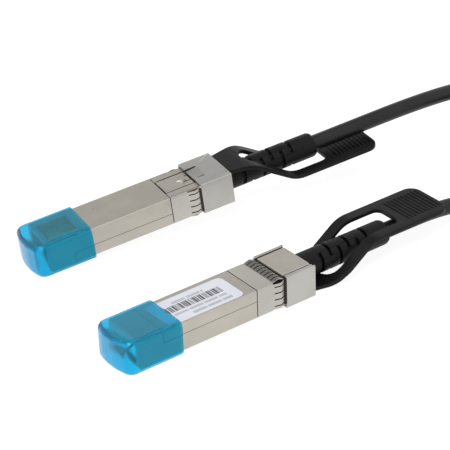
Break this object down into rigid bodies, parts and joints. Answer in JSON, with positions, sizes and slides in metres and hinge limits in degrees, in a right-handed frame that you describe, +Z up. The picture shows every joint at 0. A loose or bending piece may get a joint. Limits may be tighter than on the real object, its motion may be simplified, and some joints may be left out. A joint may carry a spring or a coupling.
{
  "type": "direct attach copper cable",
  "caption": "Twin-axial copper network cable with a pluggable metal connector at each end, black pull tabs, slotted boots, blue dust caps and a tied coil.",
  "frame": {"origin": "on the table below the middle of the two connectors", "axes": "+Z up from the table, +X from the connectors' capped noses towards the coil, +Y from the label-up connector to the latch-up one"},
  "size_m": [0.2054, 0.0707, 0.0202],
  "materials": {
    "cast_zinc": "satin nickel plating on a zinc casting",
    "plated_steel": "satin nickel-plated sheet",
    "spring_steel": "bright stamped spring sheet",
    "circuit_board": "green solder mask",
    "gold": "gold-plated contacts",
    "chip_black": "moulded chip body",
    "core_insulation": "pale insulated cores",
    "tab_black": "satin moulded nylon",
    "boot_black": "satin moulded elastomer",
    "jacket_black": "satin extruded jacket",
    "tie_black": "black hook-and-loop strap",
    "cap_teal": "glossy translucent blue-green soft plastic",
    "label_white": "white paper label with plain grey bars"
  },
  "bodies": {
    "cable": {"shell_base_a": "cast_zinc", "shell_cover_a": "cast_zinc", "paddle_card_a": "circuit_board", "card_contacts_a": "gold", "memory_chip_a": "chip_black", "wire_pairs_a": "core_insulation", "spring_collar_a": "spring_steel", "rear_sleeve_a": "plated_steel", "cable_boot_a": "boot_black", "crimp_ferrule_a": "plated_steel", "latch_spring_a": "spring_steel", "shell_base_b": "cast_zinc", "shell_cover_b": "cast_zinc", "paddle_card_b": "circuit_board", "card_contacts_b": "gold", "memory_chip_b": "chip_black", "wire_pairs_b": "core_insulation", "spring_collar_b": "spring_steel", "rear_sleeve_b": "plated_steel", "cable_boot_b": "boot_black", "crimp_ferrule_b": "plated_steel", "latch_spring_b": "spring_steel", "label_b": "label_white", "cable_leg_a": "jacket_black", "cable_leg_b": "jacket_black", "cable_coil": "jacket_black", "cable_tie": "tie_black"},
    "pull_tab_a": {"pull_tab_a": "tab_black", "latch_slide_a": "plated_steel"},
    "latch_lever_a": {"latch_lever_a": "cast_zinc"},
    "dust_cap_a": {"dust_cap_a": "cap_teal"},
    "pull_tab_b": {"pull_tab_b": "tab_black", "latch_slide_b": "plated_steel"},
    "latch_lever_b": {"latch_lever_b": "cast_zinc"},
    "dust_cap_b": {"dust_cap_b": "cap_teal"}
  },
  "joints": [
    {"name": "pull_tab_slide_a", "type": "slide", "parent": "cable", "child": "pull_tab_a", "axis": [0.9945, 0, 0.1045], "range_m": [0, 0.0015], "stiffness_N_per_m": 1500},
    {"name": "latch_lever_pivot_a", "type": "hinge", "parent": "cable", "child": "latch_lever_a", "pos_m": [-0.01087, 0.0276, 0.01298], "axis": [0, 1, 0], "range_deg": [0, 5.2], "deforming": ["latch_spring_a"]},
    {"name": "dust_cap_slide_a", "type": "slide", "parent": "cable", "child": "dust_cap_a", "axis": [-0.9945, 0, -0.1045], "range_m": [0, 0.02]},
    {"name": "pull_tab_slide_b", "type": "slide", "parent": "cable", "child": "pull_tab_b", "axis": [0.9874, 0.1582, 0], "range_m": [0, 0.0015], "stiffness_N_per_m": 1500},
    {"name": "latch_lever_pivot_b", "type": "hinge", "parent": "cable", "child": "latch_lever_b", "pos_m": [-0.01149, -0.02116, 0.00165], "axis": [0.1582, -0.9874, 0], "range_deg": [0, 5.2], "deforming": ["latch_spring_b"]},
    {"name": "dust_cap_slide_b", "type": "slide", "parent": "cable", "child": "dust_cap_b", "axis": [-0.9874, -0.1582, 0], "range_m": [0, 0.02]}
  ],
  "couplings": [
    {"joint": "latch_lever_pivot_a", "follows": "pull_tab_slide_a", "rad_per_m": 60.527},
    {"joint": "latch_lever_pivot_b", "follows": "pull_tab_slide_b", "rad_per_m": 60.527}
  ]
}
